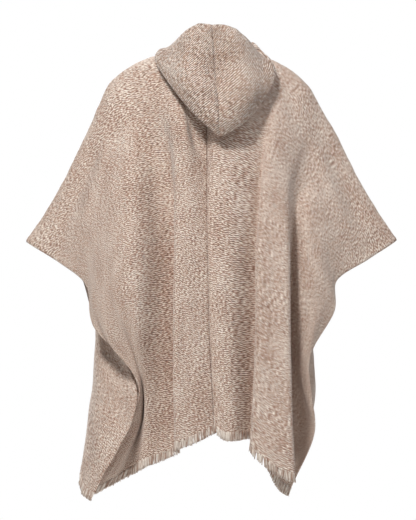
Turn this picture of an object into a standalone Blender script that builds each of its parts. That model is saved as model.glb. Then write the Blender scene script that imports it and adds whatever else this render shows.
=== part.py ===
# A hooded wool poncho in its worn form, with nobody inside. It is cut as two straight woven
# lengths, each from the back hem over the shoulder to the front hem, joined down the centre,
# with a slit for the neck, a hood of two halves and a short fringe at both hems.
# Metres, +Z up. The back faces -Y. The origin is the base of the neck between the shoulders.
import bpy
import numpy as np

WALL = 0.0025
SEAM_GAP = 0.0003
NECK_GAP = 0.0016
HEM_GAP = 0.0008
FRINGE_LENGTH = 0.018
FRINGE_STRIP = 0.004
LOCK_PITCH = 0.0125
LOCK_SHARE = 0.72
LOCK_TIP = 0.35

PANEL_WIDTH = 0.61
BACK_LENGTH = 0.94
FRONT_LENGTH = 0.92
NECK_HALF_WIDTH = 0.072
NECK_BACK = 0.100
NECK_FRONT = 0.235

# How far down a thread each level lies, as a share of its length from shoulder to hem.
LEVELS = (0.0, 0.11, 0.22, 0.36, 0.50, 0.64, 0.80, 1.0)

# The line over the top of each shoulder and arm: distance from the slit, x, y, z.
SHOULDER_LEFT = (
    (0.000, -0.072, -0.015, 0.000),
    (0.050, -0.123, -0.015, 0.009),
    (0.100, -0.173, -0.014, -0.007),
    (0.145, -0.210, -0.012, -0.030),
    (0.190, -0.242, -0.009, -0.059),
    (0.250, -0.270, -0.004, -0.115),
    (0.364, -0.318, 0.003, -0.221),
    (0.446, -0.355, 0.008, -0.296),
    (0.540, -0.404, 0.014, -0.377),
    (0.610, -0.445, 0.020, -0.441),
)
SHOULDER_RIGHT = (
    (0.000, 0.072, -0.015, 0.000),
    (0.050, 0.122, -0.015, 0.006),
    (0.105, 0.177, -0.014, -0.016),
    (0.140, 0.206, -0.012, -0.035),
    (0.180, 0.236, -0.009, -0.064),
    (0.240, 0.266, -0.004, -0.114),
    (0.323, 0.307, 0.001, -0.186),
    (0.397, 0.340, 0.006, -0.254),
    (0.500, 0.393, 0.012, -0.347),
    (0.610, 0.452, 0.020, -0.437),
)

# Each quarter of the cloth: a row for each crest, edge or hollow that runs down it, with its
# distance from the centre, the height of its fringe tips, and its x and y at the levels below
# the shoulder.
BACK_LEFT = (
    ("centre seam", 0.000, -0.902,
     (-0.003, -0.007, -0.007, -0.007, -0.004, 0.000, 0.010),
     (-0.072, -0.090, -0.124, -0.144, -0.150, -0.148, -0.142)),
    ("inner crest", 0.070, -0.930,
     (-0.079, -0.060, -0.058, -0.058, -0.060, -0.060, -0.048),
     (-0.092, -0.138, -0.157, -0.165, -0.168, -0.167, -0.164)),
    ("crest edge", 0.115, -0.944,
     (-0.119, -0.091, -0.085, -0.085, -0.087, -0.087, -0.085),
     (-0.088, -0.128, -0.147, -0.158, -0.163, -0.165, -0.161)),
    ("tuck", 0.155, -0.952,
     (-0.148, -0.108, -0.088, -0.080, -0.077, -0.076, -0.076),
     (-0.076, -0.095, -0.092, -0.086, -0.081, -0.078, -0.077)),
    ("hollow", 0.195, -0.968,
     (-0.186, -0.143, -0.126, -0.119, -0.115, -0.113, -0.110),
     (-0.068, -0.085, -0.091, -0.091, -0.089, -0.083, -0.077)),
    ("hollow side", 0.240, -0.981,
     (-0.208, -0.182, -0.173, -0.169, -0.165, -0.152, -0.147),
     (-0.066, -0.110, -0.133, -0.142, -0.136, -0.106, -0.090)),
    ("outer crest", 0.310, -0.999,
     (-0.254, -0.230, -0.223, -0.221, -0.188, -0.155, -0.178),
     (-0.058, -0.104, -0.134, -0.146, -0.136, -0.090, -0.070)),
    ("outer slope", 0.400, -1.017,
     (-0.295, -0.266, -0.252, -0.236, -0.181, -0.160, -0.210),
     (-0.050, -0.092, -0.122, -0.136, -0.110, -0.058, -0.064)),
    ("wing", 0.500, -1.037,
     (-0.333, -0.289, -0.276, -0.250, -0.175, -0.172, -0.244),
     (-0.042, -0.082, -0.106, -0.118, -0.108, -0.082, -0.080)),
    ("selvedge", 0.610, -1.051,
     (-0.362, -0.301, -0.281, -0.204, -0.169, -0.222, -0.273),
     (-0.030, -0.068, -0.092, -0.110, -0.112, -0.080, -0.092)),
)
BACK_RIGHT = (
    ("centre seam", 0.000, -0.898,
     (-0.003, -0.007, -0.007, -0.007, -0.004, 0.000, 0.010),
     (-0.072, -0.090, -0.124, -0.144, -0.150, -0.148, -0.142)),
    ("seam ridge", 0.028, -0.917,
     (0.024, 0.009, 0.009, 0.012, 0.013, 0.018, 0.030),
     (-0.088, -0.134, -0.152, -0.160, -0.161, -0.157, -0.151)),
    ("inner crest", 0.070, -0.920,
     (0.079, 0.055, 0.050, 0.050, 0.048, 0.048, 0.058),
     (-0.090, -0.134, -0.152, -0.158, -0.158, -0.155, -0.151)),
    ("inner hollow", 0.125, -0.921,
     (0.149, 0.131, 0.123, 0.116, 0.115, 0.112, 0.100),
     (-0.084, -0.112, -0.120, -0.118, -0.112, -0.107, -0.103)),
    ("great fold start", 0.155, -0.947,
     (0.173, 0.143, 0.122, 0.111, 0.110, 0.107, 0.097),
     (-0.082, -0.124, -0.147, -0.159, -0.164, -0.166, -0.166)),
    ("great fold crest", 0.205, -0.996,
     (0.202, 0.170, 0.158, 0.154, 0.151, 0.154, 0.154),
     (-0.075, -0.123, -0.151, -0.168, -0.177, -0.183, -0.187)),
    ("great fold edge", 0.255, -1.018,
     (0.226, 0.192, 0.188, 0.191, 0.192, 0.194, 0.202),
     (-0.064, -0.112, -0.142, -0.160, -0.170, -0.176, -0.179)),
    ("recess wall", 0.300, -1.004,
     (0.240, 0.206, 0.190, 0.182, 0.175, 0.168, 0.156),
     (-0.056, -0.090, -0.098, -0.094, -0.086, -0.080, -0.078)),
    ("recess", 0.345, -0.980,
     (0.262, 0.219, 0.203, 0.199, 0.195, 0.184, 0.138),
     (-0.052, -0.084, -0.088, -0.080, -0.064, -0.050, -0.058)),
    ("outer start", 0.375, -0.990,
     (0.279, 0.240, 0.222, 0.216, 0.209, 0.200, 0.143),
     (-0.050, -0.091, -0.109, -0.110, -0.086, -0.050, -0.045)),
    ("outer crest", 0.430, -1.023,
     (0.304, 0.262, 0.248, 0.239, 0.216, 0.219, 0.160),
     (-0.047, -0.093, -0.115, -0.117, -0.096, -0.054, -0.047)),
    ("wing", 0.520, -1.047,
     (0.346, 0.292, 0.280, 0.247, 0.224, 0.238, 0.178),
     (-0.039, -0.082, -0.105, -0.115, -0.098, -0.068, -0.059)),
    ("selvedge", 0.610, -1.056,
     (0.382, 0.308, 0.299, 0.239, 0.245, 0.251, 0.194),
     (-0.028, -0.066, -0.090, -0.105, -0.098, -0.084, -0.067)),
)
FRONT_LEFT = (
    ("centre seam", 0.000, -0.869,
     (-0.062, -0.017, 0.000, 0.000, 0.000, 0.000, 0.000),
     (0.055, 0.105, 0.125, 0.130, 0.130, 0.130, 0.130)),
    ("inner crest", 0.100, -0.878,
     (-0.139, -0.101, -0.082, -0.077, -0.077, -0.077, -0.077),
     (0.045, 0.100, 0.130, 0.145, 0.152, 0.158, 0.160)),
    ("hollow", 0.200, -0.888,
     (-0.211, -0.173, -0.154, -0.144, -0.139, -0.139, -0.139),
     (0.040, 0.085, 0.110, 0.118, 0.120, 0.120, 0.120)),
    ("outer crest", 0.300, -0.907,
     (-0.259, -0.233, -0.218, -0.211, -0.206, -0.206, -0.206),
     (0.035, 0.075, 0.105, 0.125, 0.140, 0.145, 0.145)),
    ("side", 0.380, -0.931,
     (-0.293, -0.266, -0.250, -0.254, -0.259, -0.264, -0.271),
     (0.035, 0.060, 0.080, 0.090, 0.085, 0.080, 0.075)),
    ("side turn", 0.440, -0.988,
     (-0.314, -0.286, -0.269, -0.275, -0.280, -0.285, -0.306),
     (0.033, 0.050, 0.055, 0.035, 0.010, -0.010, -0.030)),
    ("wing", 0.520, -1.043,
     (-0.341, -0.302, -0.278, -0.269, -0.257, -0.258, -0.306),
     (0.034, 0.040, 0.030, -0.010, -0.060, -0.090, -0.090)),
    ("selvedge", 0.610, -1.066,
     (-0.379, -0.322, -0.281, -0.226, -0.177, -0.195, -0.279),
     (0.035, 0.030, -0.008, -0.068, -0.100, -0.140, -0.135)),
)
FRONT_RIGHT = (
    ("centre seam", 0.000, -0.869,
     (0.062, 0.017, 0.000, 0.000, 0.000, 0.000, 0.000),
     (0.055, 0.105, 0.125, 0.130, 0.130, 0.130, 0.130)),
    ("inner crest", 0.100, -0.878,
     (0.139, 0.101, 0.082, 0.077, 0.077, 0.077, 0.077),
     (0.045, 0.100, 0.130, 0.145, 0.155, 0.160, 0.165)),
    ("hollow", 0.200, -0.893,
     (0.211, 0.173, 0.154, 0.144, 0.139, 0.139, 0.139),
     (0.040, 0.085, 0.108, 0.115, 0.115, 0.115, 0.115)),
    ("outer crest", 0.300, -0.912,
     (0.259, 0.233, 0.214, 0.202, 0.192, 0.187, 0.182),
     (0.035, 0.075, 0.105, 0.120, 0.130, 0.135, 0.135)),
    ("side", 0.380, -0.936,
     (0.295, 0.264, 0.240, 0.223, 0.216, 0.216, 0.216),
     (0.035, 0.060, 0.080, 0.085, 0.085, 0.085, 0.080)),
    ("side turn", 0.460, -0.970,
     (0.326, 0.288, 0.264, 0.240, 0.246, 0.249, 0.214),
     (0.030, 0.050, 0.050, 0.035, 0.030, 0.025, 0.020)),
    ("wing", 0.530, -0.995,
     (0.350, 0.302, 0.272, 0.243, 0.250, 0.251, 0.205),
     (0.025, 0.035, 0.020, 0.000, -0.010, -0.015, -0.020)),
    ("selvedge", 0.610, -1.010,
     (0.379, 0.322, 0.278, 0.230, 0.238, 0.241, 0.189),
     (0.030, 0.020, -0.005, -0.030, -0.040, -0.045, -0.050)),
)

# The share of its whole drop that a thread has made at each level: at the centre, near the
# neck and at the selvedge.
DROP_PLACES = (0.0, 0.12, PANEL_WIDTH)
BACK_DROPS_LEFT = (
    (0.000, 0.020, 0.140, 0.295, 0.455, 0.620, 0.785, 1.0),
    (0.000, 0.075, 0.175, 0.320, 0.465, 0.615, 0.780, 1.0),
    (0.000, 0.088, 0.173, 0.345, 0.482, 0.618, 0.795, 1.0),
)
BACK_DROPS_RIGHT = (
    (0.000, 0.020, 0.140, 0.295, 0.455, 0.620, 0.785, 1.0),
    (0.000, 0.075, 0.175, 0.320, 0.465, 0.615, 0.780, 1.0),
    (0.000, 0.078, 0.157, 0.287, 0.469, 0.622, 0.772, 1.0),
)
FRONT_DROPS_LEFT = (
    (0.000, 0.050, 0.190, 0.360, 0.510, 0.665, 0.835, 1.0),
    (0.000, 0.070, 0.175, 0.320, 0.465, 0.615, 0.780, 1.0),
    (0.000, 0.040, 0.110, 0.300, 0.438, 0.580, 0.725, 1.0),
)
FRONT_DROPS_RIGHT = (
    (0.000, 0.050, 0.190, 0.360, 0.510, 0.665, 0.835, 1.0),
    (0.000, 0.070, 0.175, 0.320, 0.465, 0.615, 0.780, 1.0),
    (0.000, 0.050, 0.115, 0.290, 0.470, 0.610, 0.755, 1.0),
)

LEFT = dict(side=-1, shoulder=SHOULDER_LEFT, back=BACK_LEFT, front=FRONT_LEFT,
            back_drops=BACK_DROPS_LEFT, front_drops=FRONT_DROPS_LEFT)
RIGHT = dict(side=1, shoulder=SHOULDER_RIGHT, back=BACK_RIGHT, front=FRONT_RIGHT,
             back_drops=BACK_DROPS_RIGHT, front_drops=FRONT_DROPS_RIGHT)


def curve_through(knots, values, at):
    """A smooth curve through the values: its slope at a knot is the mean of those beside it."""
    knots = np.asarray(knots, float)
    values = np.asarray(values, float)
    at = np.asarray(at, float)
    shape = (-1,) + (1,) * (values.ndim - 1)
    step = np.diff(knots).reshape(shape)
    rise = np.diff(values, axis=0) / step
    inner = (rise[:-1] * step[1:] + rise[1:] * step[:-1]) / (step[:-1] + step[1:])
    slope = np.concatenate([rise[:1], inner, rise[-1:]])
    index = np.clip(np.searchsorted(knots, at, side="right") - 1, 0, len(knots) - 2)
    width = step[index]
    f = (at - knots[index]).reshape(shape) / width
    start = values[index] * (1 + 2 * f) + slope[index] * width * f
    end = values[index + 1] * (3 - 2 * f) - slope[index + 1] * width * (1 - f)
    return start * (1 - f) ** 2 + end * f**2


def level_curves(fabric, face, across):
    """The cloth's points at each level of one face, at the given distances from the centre."""
    rows = fabric[face]
    places = [row[1] for row in rows]
    arm = np.array(fabric["shoulder"])
    top = curve_through(arm[:, 0], arm[:, 1:], across)
    hem = curve_through(places, [[row[2]] for row in rows], across)[:, 0] + FRINGE_LENGTH
    xs = curve_through(places, [row[3] for row in rows], across)
    ys = curve_through(places, [row[4] for row in rows], across)
    drops = np.array(fabric[face + "_drops"])
    share = np.array([np.interp(across, DROP_PLACES, drops[:, n]) for n in range(len(LEVELS))])
    levels = np.empty((len(LEVELS), len(across), 3))
    levels[0] = top
    levels[1:, :, 0] = xs.T
    levels[1:, :, 1] = ys.T
    levels[:, :, 2] = top[:, 2] + (hem - top[:, 2]) * share
    return levels


def neck_half_width(along):
    """Half the width of the slit at a distance along the cloth, negative towards the back."""
    reach = np.where(along < 0, -along / NECK_BACK, along / NECK_FRONT)
    return np.where(reach < 1, NECK_HALF_WIDTH * np.cos(np.clip(reach, 0, 1) * np.pi / 2), 0)


def cloth_points(fabric, across, along):
    """The middle surface of one woven length, one row of points for each place across it."""
    back = level_curves(fabric, "back", across)
    front = level_curves(fabric, "front", across)
    levels = np.concatenate([back[:0:-1], front])
    reached = np.array(LEVELS)
    knots = np.concatenate([-reached[:0:-1] * BACK_LENGTH, reached * FRONT_LENGTH])
    points = curve_through(knots, levels, along).transpose(1, 0, 2)
    centre_knots = np.concatenate([knots[:7], [0.0, FRONT_LENGTH]])
    centre = curve_through(centre_knots, fabric["back"][0][3][::-1] + (0.0, 0.0), along)
    edge = centre + fabric["side"] * (neck_half_width(along) + SEAM_GAP / 2)
    fade = np.clip(1 - across / 0.07, 0, 1)[:, None] ** 2
    points[:, :, 0] += fade * (edge - points[0, :, 0])
    return points


def unit(vectors):
    return vectors / np.linalg.norm(vectors, axis=-1, keepdims=True)


def grid_normals(points, side):
    flat = unit(side * np.cross(np.gradient(points, axis=0), np.gradient(points, axis=1)))
    wide = np.pad(flat, ((1, 1), (1, 1), (0, 0)), mode="edge")
    beside = wide[:-2, 1:-1] + wide[2:, 1:-1] + wide[1:-1, :-2] + wide[1:-1, 2:]
    return unit(flat * 2 + beside)


def straighten_edge(normals, points, weight=1.0):
    """Turns the normals of the first row flat to the plane that the two halves meet in."""
    tangent = np.gradient(points[0], axis=0)
    flat = unit(np.cross([1.0, 0.0, 0.0], tangent))
    flat *= np.sign((flat * normals[0]).sum(axis=1, keepdims=True))
    weight = np.broadcast_to(weight, len(flat))[:, None]
    normals[0] = unit(normals[0] * (1 - weight) + flat * weight)


def add_object(name, vertices, faces, colour, smooth=True):
    mesh = bpy.data.meshes.new(name)
    mesh.from_pydata(np.asarray(vertices).tolist(), [], faces)
    mesh.validate()
    if smooth:
        mesh.shade_smooth()
        mesh.set_sharp_from_angle(angle=np.radians(50))
    material = bpy.data.materials.new(name + " wool")
    material.use_nodes = True
    shader = material.node_tree.nodes["Principled BSDF"]
    shader.inputs["Base Color"].default_value = (*colour, 1.0)
    shader.inputs["Roughness"].default_value = 0.95
    shader.inputs["Metallic"].default_value = 0.0
    mesh.materials.append(material)
    built = bpy.data.objects.new(name, mesh)
    bpy.context.scene.collection.objects.link(built)
    return built


def wall_mesh(points, normals, side):
    """A closed wall about a grid of points: outer face, inner face and the four edges."""
    rows, columns = points.shape[:2]
    outer = points + normals * WALL / 2
    inner = points - normals * WALL / 2
    vertices = np.concatenate([outer.reshape(-1, 3), inner.reshape(-1, 3)])
    number = np.arange(rows * columns).reshape(rows, columns)
    under = number + rows * columns

    def quads(a, b, c, d):
        corners = np.stack([part.ravel() for part in (a, b, c, d)], axis=1)
        return (corners if side > 0 else corners[:, ::-1]).tolist()

    faces = quads(number[:-1, :-1], number[1:, :-1], number[1:, 1:], number[:-1, 1:])
    faces += quads(under[:-1, :-1], under[:-1, 1:], under[1:, 1:], under[1:, :-1])
    faces += quads(number[0, :-1], number[0, 1:], under[0, 1:], under[0, :-1])
    faces += quads(number[-1, 1:], number[-1, :-1], under[-1, :-1], under[-1, 1:])
    faces += quads(number[1:, 0], number[:-1, 0], under[:-1, 0], under[1:, 0])
    faces += quads(number[:-1, -1], number[1:, -1], under[1:, -1], under[:-1, -1])
    return vertices, faces


def places_across(fabric, cells):
    """The columns of the grid: each fold row of the back, and even steps between them."""
    rows = [row[1] for row in fabric["back"]]
    steps = [np.linspace(a, b, n, endpoint=False) for a, b, n in zip(rows, rows[1:], cells)]
    return np.concatenate(steps + [[rows[-1]]])


def places_along():
    """The rows of the grid, closest over the shoulder, with one at each end of the slit."""
    back = np.concatenate([np.linspace(-BACK_LENGTH, -0.24, 13, endpoint=False),
                           np.linspace(-0.24, -NECK_BACK, 4, endpoint=False),
                           np.linspace(-NECK_BACK, 0.0, 5, endpoint=False)])
    front = np.concatenate([np.linspace(0.0, NECK_FRONT, 8, endpoint=False),
                            np.linspace(NECK_FRONT, FRONT_LENGTH, 12)])
    return np.concatenate([back, front])


def make_panel(name, fabric, cells, colour):
    across = places_across(fabric, cells)
    along = places_along()
    points = cloth_points(fabric, across, along)
    normals = grid_normals(points, fabric["side"])
    open_share = neck_half_width(along) / NECK_HALF_WIDTH
    straighten_edge(normals, points, np.clip(1 - open_share * 2, 0, 1))
    vertices, faces = wall_mesh(points, normals, fabric["side"])
    add_object(name, vertices, faces, colour)
    return points, normals, along


# The hood hangs behind as an empty bag. A row for each section round the neck: its place along
# the slit, the way it faces from straight back, the collar's rise, the bag's outermost fold, the
# gap between its layers, how far it leans from hanging to lying flat, and the turn at its top.
HOOD_LEFT = (
    ("centre back", -0.100, 0, 0.030, (0.022, -0.180, -0.190), 0.030, 0, (0.004, -0.116, 0.080)),
    ("back", -0.075, 20, 0.028, (-0.030, -0.174, -0.143), 0.036, 5, (-0.030, -0.118, 0.081)),
    ("back side", -0.050, 45, 0.024, (-0.082, -0.142, -0.082), 0.028, 15, (-0.062, -0.096, 0.060)),
    ("shoulder back", -0.025, 66, 0.018, (-0.132, -0.078, -0.003), 0.015, 45, (-0.092, -0.058, 0.029)),
    ("shoulder", 0.000, 88, 0.012, (-0.106, -0.020, 0.018), 0.012, 62, (-0.087, -0.018, 0.028)),
    ("front side", 0.070, 115, 0.010, (-0.100, 0.042, 0.002), 0.014, 66, (-0.080, 0.034, 0.017)),
    ("front", 0.140, 140, 0.010, (-0.074, 0.096, -0.062), 0.014, 56, (-0.056, 0.088, -0.042)),
    ("slit foot", 0.235, 160, 0.009, (-0.028, 0.136, -0.178), 0.013, 45, (-0.018, 0.132, -0.158)),
)
HOOD_RIGHT = (
    ("centre back", -0.100, 0, 0.030, (0.022, -0.180, -0.190), 0.030, 0, (0.004, -0.116, 0.080)),
    ("back", -0.075, 20, 0.028, (0.074, -0.174, -0.161), 0.036, 5, (0.042, -0.118, 0.077)),
    ("back side", -0.050, 45, 0.024, (0.116, -0.142, -0.118), 0.028, 15, (0.076, -0.096, 0.056)),
    ("shoulder back", -0.025, 66, 0.018, (0.157, -0.092, -0.038), 0.015, 45, (0.108, -0.062, 0.017)),
    ("shoulder", 0.000, 86, 0.012, (0.124, -0.024, 0.018), 0.012, 62, (0.098, -0.020, 0.025)),
    ("front side", 0.070, 115, 0.010, (0.102, 0.042, 0.002), 0.014, 66, (0.082, 0.034, 0.016)),
    ("front", 0.140, 140, 0.010, (0.074, 0.096, -0.062), 0.014, 56, (0.056, 0.088, -0.042)),
    ("slit foot", 0.235, 160, 0.009, (0.031, 0.137, -0.176), 0.014, 45, (0.021, 0.132, -0.155)),
)
HOOD_CELLS = (2, 2, 3, 3, 2, 2, 4, 3, 2)
# The bag is pushed in beside its centre seam, halfway down.
HOOD_DENT = 0.034
HOOD_DENT_REACH = 0.025


def hood_points(stations, side, edge, along):
    """Sections of the bag: up from the neck seam, down behind, round the fold, up and in."""
    knots = [row[1] for row in stations]
    numbers = [(*row[2:4], *row[4], *row[5:7], *row[7]) for row in stations]
    angle, rise, fx, fy, fz, gap, lean, tx, ty, tz = curve_through(knots, numbers, along).T
    turn = np.radians(angle)
    lean = np.radians(lean)[:, None]
    away = np.stack([side * np.sin(turn), -np.cos(turn), 0 * turn], axis=1)
    up = np.array([0.0, 0.0, 1.0])
    into = up * np.cos(lean) - away * np.sin(lean)
    over = away * np.cos(lean) + up * np.sin(lean)
    fold = np.stack([fx, fy, fz], axis=1)
    top = np.stack([tx, ty, tz], axis=1)
    gap = gap[:, None]
    collar = edge + away * 0.003 + up * rise[:, None]
    collar_turn = edge + away * 0.014 + up * (rise[:, None] + 0.001)
    under = fold + into * gap * 0.9 - over * gap / 2
    outer = fold + into * gap * 0.9 + over * gap / 2
    dent = HOOD_DENT * np.exp(-(((along + NECK_BACK) / HOOD_DENT_REACH) ** 2))[:, None]
    belly = outer * 0.45 + top * 0.55 + over * (gap * 0.35 * np.cos(lean) ** 2 - dent)
    rim = top - away * (gap * 0.6 + 0.004) - up * gap * 0.3
    inner = collar_turn * 0.55 + under * 0.45 - over * dent * 0.1
    sections = np.stack([edge, collar, collar_turn, inner, under, fold, outer, belly, top, rim],
                        axis=1)
    whole = np.arange(len(HOOD_CELLS) + 1)
    places = [np.linspace(n, n + 1, c, endpoint=False) for n, c in enumerate(HOOD_CELLS)]
    places = np.concatenate(places + [whole[-1:]])
    points = []
    for section in sections:
        length = np.linalg.norm(np.diff(section, axis=0), axis=1)
        reached = np.concatenate([[0], np.cumsum(length)])
        points.append(curve_through(reached, section, np.interp(places, whole, reached)))
    return np.array(points)


def make_hood_half(name, stations, fabric, panel, colour):
    """One half of the hood. Its lower edge stands on the panel's face, just inside the slit."""
    panel_points, panel_normals, along = panel
    side = fabric["side"]
    slit = (along > -NECK_BACK - 1e-6) & (along < NECK_FRONT - 1e-6)
    neckline = panel_points[0][slit]
    tangent = unit(np.gradient(neckline, axis=0))
    outward = unit(side * np.cross(tangent, panel_normals[0][slit]))
    edge = neckline + outward * WALL * 0.65 + panel_normals[0][slit] * (WALL / 2 + NECK_GAP)
    edge[0, 0] = neckline[0, 0]
    points = hood_points(stations, side, edge, along[slit])
    seam_shift = side * SEAM_GAP / 2 * np.ones(points.shape[1])
    seam_shift[0] = 0.0
    points[0, :, 0] += seam_shift
    normals = grid_normals(points, side)
    normals[:, 0] = outward
    straighten_edge(normals, points)
    vertices, faces = wall_mesh(points, normals, side)
    add_object(name, vertices, faces, colour)


def make_fringe(name, hem, normals, down, side, colour):
    """A narrow strip along a hem with a tapered lock hanging from each cell of it."""
    rng = np.random.default_rng(len(name) * 7 + side)
    length = np.linalg.norm(np.diff(hem, axis=0), axis=1)
    places = []
    for number, run in enumerate(length):
        locks = max(1, round(run / LOCK_PITCH))
        for lock in range(locks):
            places += [number + lock / locks, number + (lock + LOCK_SHARE) / locks]
    places = np.array(places + [len(length)])
    whole = np.arange(len(hem))

    def along_hem(values):
        return np.stack([np.interp(places, whole, values[:, n]) for n in range(3)], axis=1)

    base = along_hem(hem)
    outward = unit(along_hem(normals)) * WALL / 2
    fall = unit(along_hem(down))
    top = base + fall * HEM_GAP
    foot = top + fall * FRINGE_STRIP
    corners = np.stack([top + outward, foot + outward, foot - outward, top - outward], axis=1)
    vertices = list(corners.reshape(-1, 3))
    faces = [(0, 3, 2, 1)]
    for cell in range(len(places) - 1):
        a = 4 * cell
        b = a + 4
        faces += [(a, a + 1, b + 1, b), (a + 3, b + 3, b + 2, a + 2), (a, b, b + 3, a + 3)]
        if cell % 2:
            faces.append((a + 1, a + 2, b + 2, b + 1))
            continue
        root = np.array([vertices[n] for n in (a + 1, a + 2, b + 2, b + 1)])
        middle = root.mean(axis=0)
        reach = (FRINGE_LENGTH - FRINGE_STRIP) * rng.uniform(0.82, 1.0)
        sway = unit(base[cell + 1] - base[cell]) * rng.uniform(-0.003, 0.003)
        tip = (root - middle) * LOCK_TIP + middle + fall[cell] * reach + sway
        t = len(vertices)
        vertices += list(tip)
        faces += [(a + 1, a + 2, t + 1, t), (a + 2, b + 2, t + 2, t + 1)]
        faces += [(b + 2, b + 1, t + 3, t + 2), (b + 1, a + 1, t, t + 3)]
        faces.append((t, t + 1, t + 2, t + 3))
    last = 4 * (len(places) - 1)
    faces.append((last, last + 1, last + 2, last + 3))
    if side < 0:
        faces = [face[::-1] for face in faces]
    add_object(name, vertices, faces, colour, smooth=False)


def make_fringes(word, panel, side, colour):
    """The fringe at the back hem, which is the first row of the panel, and at the front hem."""
    points, normals, _ = panel
    down = unit(points[:, 0] - points[:, 1])
    make_fringe("fringe_back_" + word, points[:, 0], normals[:, 0], down, side, colour)
    down = unit(points[:, -1] - points[:, -2])
    make_fringe("fringe_front_" + word, points[:, -1], normals[:, -1], down, -side, colour)


def clear_scene():
    for thing in list(bpy.data.objects):
        bpy.data.objects.remove(thing, do_unlink=True)


def main():
    clear_scene()
    wool = (0.47, 0.36, 0.29)
    hood_wool = (0.45, 0.34, 0.27)
    yarn = (0.62, 0.51, 0.43)
    left = make_panel("panel_left", LEFT, (3, 2, 2, 2, 2, 3, 3, 3, 3), wool)
    right = make_panel("panel_right", RIGHT, (1, 2, 2, 2, 3, 3, 2, 2, 3, 3, 3), wool)
    make_hood_half("hood_left", HOOD_LEFT, LEFT, left, hood_wool)
    make_hood_half("hood_right", HOOD_RIGHT, RIGHT, right, hood_wool)
    make_fringes("left", left, -1, yarn)
    make_fringes("right", right, 1, yarn)


main()
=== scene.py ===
import bpy
import numpy as np
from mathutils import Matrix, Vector


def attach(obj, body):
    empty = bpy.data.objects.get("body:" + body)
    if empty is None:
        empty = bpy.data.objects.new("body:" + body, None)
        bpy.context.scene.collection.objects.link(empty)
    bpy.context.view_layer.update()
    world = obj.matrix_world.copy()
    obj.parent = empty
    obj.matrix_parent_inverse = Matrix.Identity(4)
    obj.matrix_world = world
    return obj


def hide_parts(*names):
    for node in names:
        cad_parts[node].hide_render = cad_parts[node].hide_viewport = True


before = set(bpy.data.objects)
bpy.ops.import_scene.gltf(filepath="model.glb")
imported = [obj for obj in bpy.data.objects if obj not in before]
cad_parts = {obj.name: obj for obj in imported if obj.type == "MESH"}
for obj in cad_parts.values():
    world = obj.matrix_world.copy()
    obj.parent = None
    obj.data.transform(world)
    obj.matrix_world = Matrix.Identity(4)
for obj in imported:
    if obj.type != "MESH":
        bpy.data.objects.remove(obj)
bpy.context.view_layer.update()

# Camera, pale floor and soft light. The picture is 416 wide and 520 high, and viewHeight is
# what its long side takes in at the poncho's back.
studio = {
    "cameraDistance": 14.0,
    "sensorWidth": 36.0,
    "viewHeight": 1.248,
    "aim": (-0.005, -0.13, -0.485),
    "floorHeight": -1.45,
    "floorHalfWidth": 30.0,
    "floorReach": 6.5,
    "floorGlow": 0.75,
    "skyStrength": 0.11,
    "backdropStrength": 1.0,
}

# Soft round lamps, all turned to the poncho: name, place, diameter, watts, colour.
lamps = (
    ("key", (-1.1, -3.0, 3.0), 0.9, 182.0, (1.0, 0.985, 0.96)),
    ("fill", (2.6, -1.3, 3.5), 1.6, 58.0, (0.96, 0.98, 1.0)),
    ("front", (-1.4, 3.2, 1.8), 1.6, 120.0, (1.0, 1.0, 1.0)),
)


def addLamp(name, place, aim, size, energy, colour):
    data = bpy.data.lights.new(name, "AREA")
    data.shape = "DISK"
    data.size = size
    data.energy = energy
    data.color = colour
    lamp = bpy.data.objects.new(name, data)
    lamp.location = place
    lamp.rotation_mode = "QUATERNION"
    lamp.rotation_quaternion = (Vector(aim) - Vector(place)).to_track_quat("-Z", "Y")
    bpy.context.scene.collection.objects.link(lamp)


def makeStudio():
    scene = bpy.context.scene
    aim = Vector(studio["aim"])
    data = bpy.data.cameras.new("camera")
    data.sensor_width = studio["sensorWidth"]
    data.lens = data.sensor_width * studio["cameraDistance"] / studio["viewHeight"]
    data.clip_end = 100.0
    camera = bpy.data.objects.new("camera", data)
    camera.location = aim - Vector((0, studio["cameraDistance"], 0))
    camera.rotation_mode = "QUATERNION"
    camera.rotation_quaternion = Vector((0, 1, 0)).to_track_quat("-Z", "Y")
    scene.collection.objects.link(camera)
    scene.camera = camera

    world = bpy.data.worlds.new("white room")
    world.use_nodes = True
    nodes, links = world.node_tree.nodes, world.node_tree.links
    nodes.clear()
    seen = nodes.new("ShaderNodeBackground")
    seen.inputs["Strength"].default_value = studio["backdropStrength"]
    sky = nodes.new("ShaderNodeBackground")
    sky.inputs["Color"].default_value = (0.95, 0.97, 1.0, 1.0)
    sky.inputs["Strength"].default_value = studio["skyStrength"]
    seen.inputs["Color"].default_value = (1.0, 1.0, 1.0, 1.0)
    path = nodes.new("ShaderNodeLightPath")
    mix = nodes.new("ShaderNodeMixShader")
    out = nodes.new("ShaderNodeOutputWorld")
    links.new(path.outputs["Is Camera Ray"], mix.inputs[0])
    links.new(sky.outputs[0], mix.inputs[1])
    links.new(seen.outputs[0], mix.inputs[2])
    links.new(mix.outputs[0], out.inputs["Surface"])
    scene.world = world
    scene.view_settings.view_transform = "Standard"

    for name, place, size, energy, colour in lamps:
        addLamp(name, place, aim, size, energy, colour)

    wide, far, z = studio["floorHalfWidth"], studio["floorReach"], studio["floorHeight"]
    mesh = bpy.data.meshes.new("floor")
    mesh.from_pydata([(-wide, -wide, z), (wide, -wide, z), (wide, far, z), (-wide, far, z)],
                     [], [(0, 1, 2, 3)])
    floor = bpy.data.objects.new("floor", mesh)
    scene.collection.objects.link(floor)
    mesh.materials.append(paper())


# Turns an sRGB hex value into the linear colour that Blender mixes.
def linear(hexColour):
    parts = np.array([int(hexColour[n:n + 2], 16) for n in (1, 3, 5)]) / 255
    parts = np.where(parts <= 0.04045, parts / 12.92, ((parts + 0.055) / 1.055) ** 2.4)
    return (*parts.tolist(), 1.0)


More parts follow.
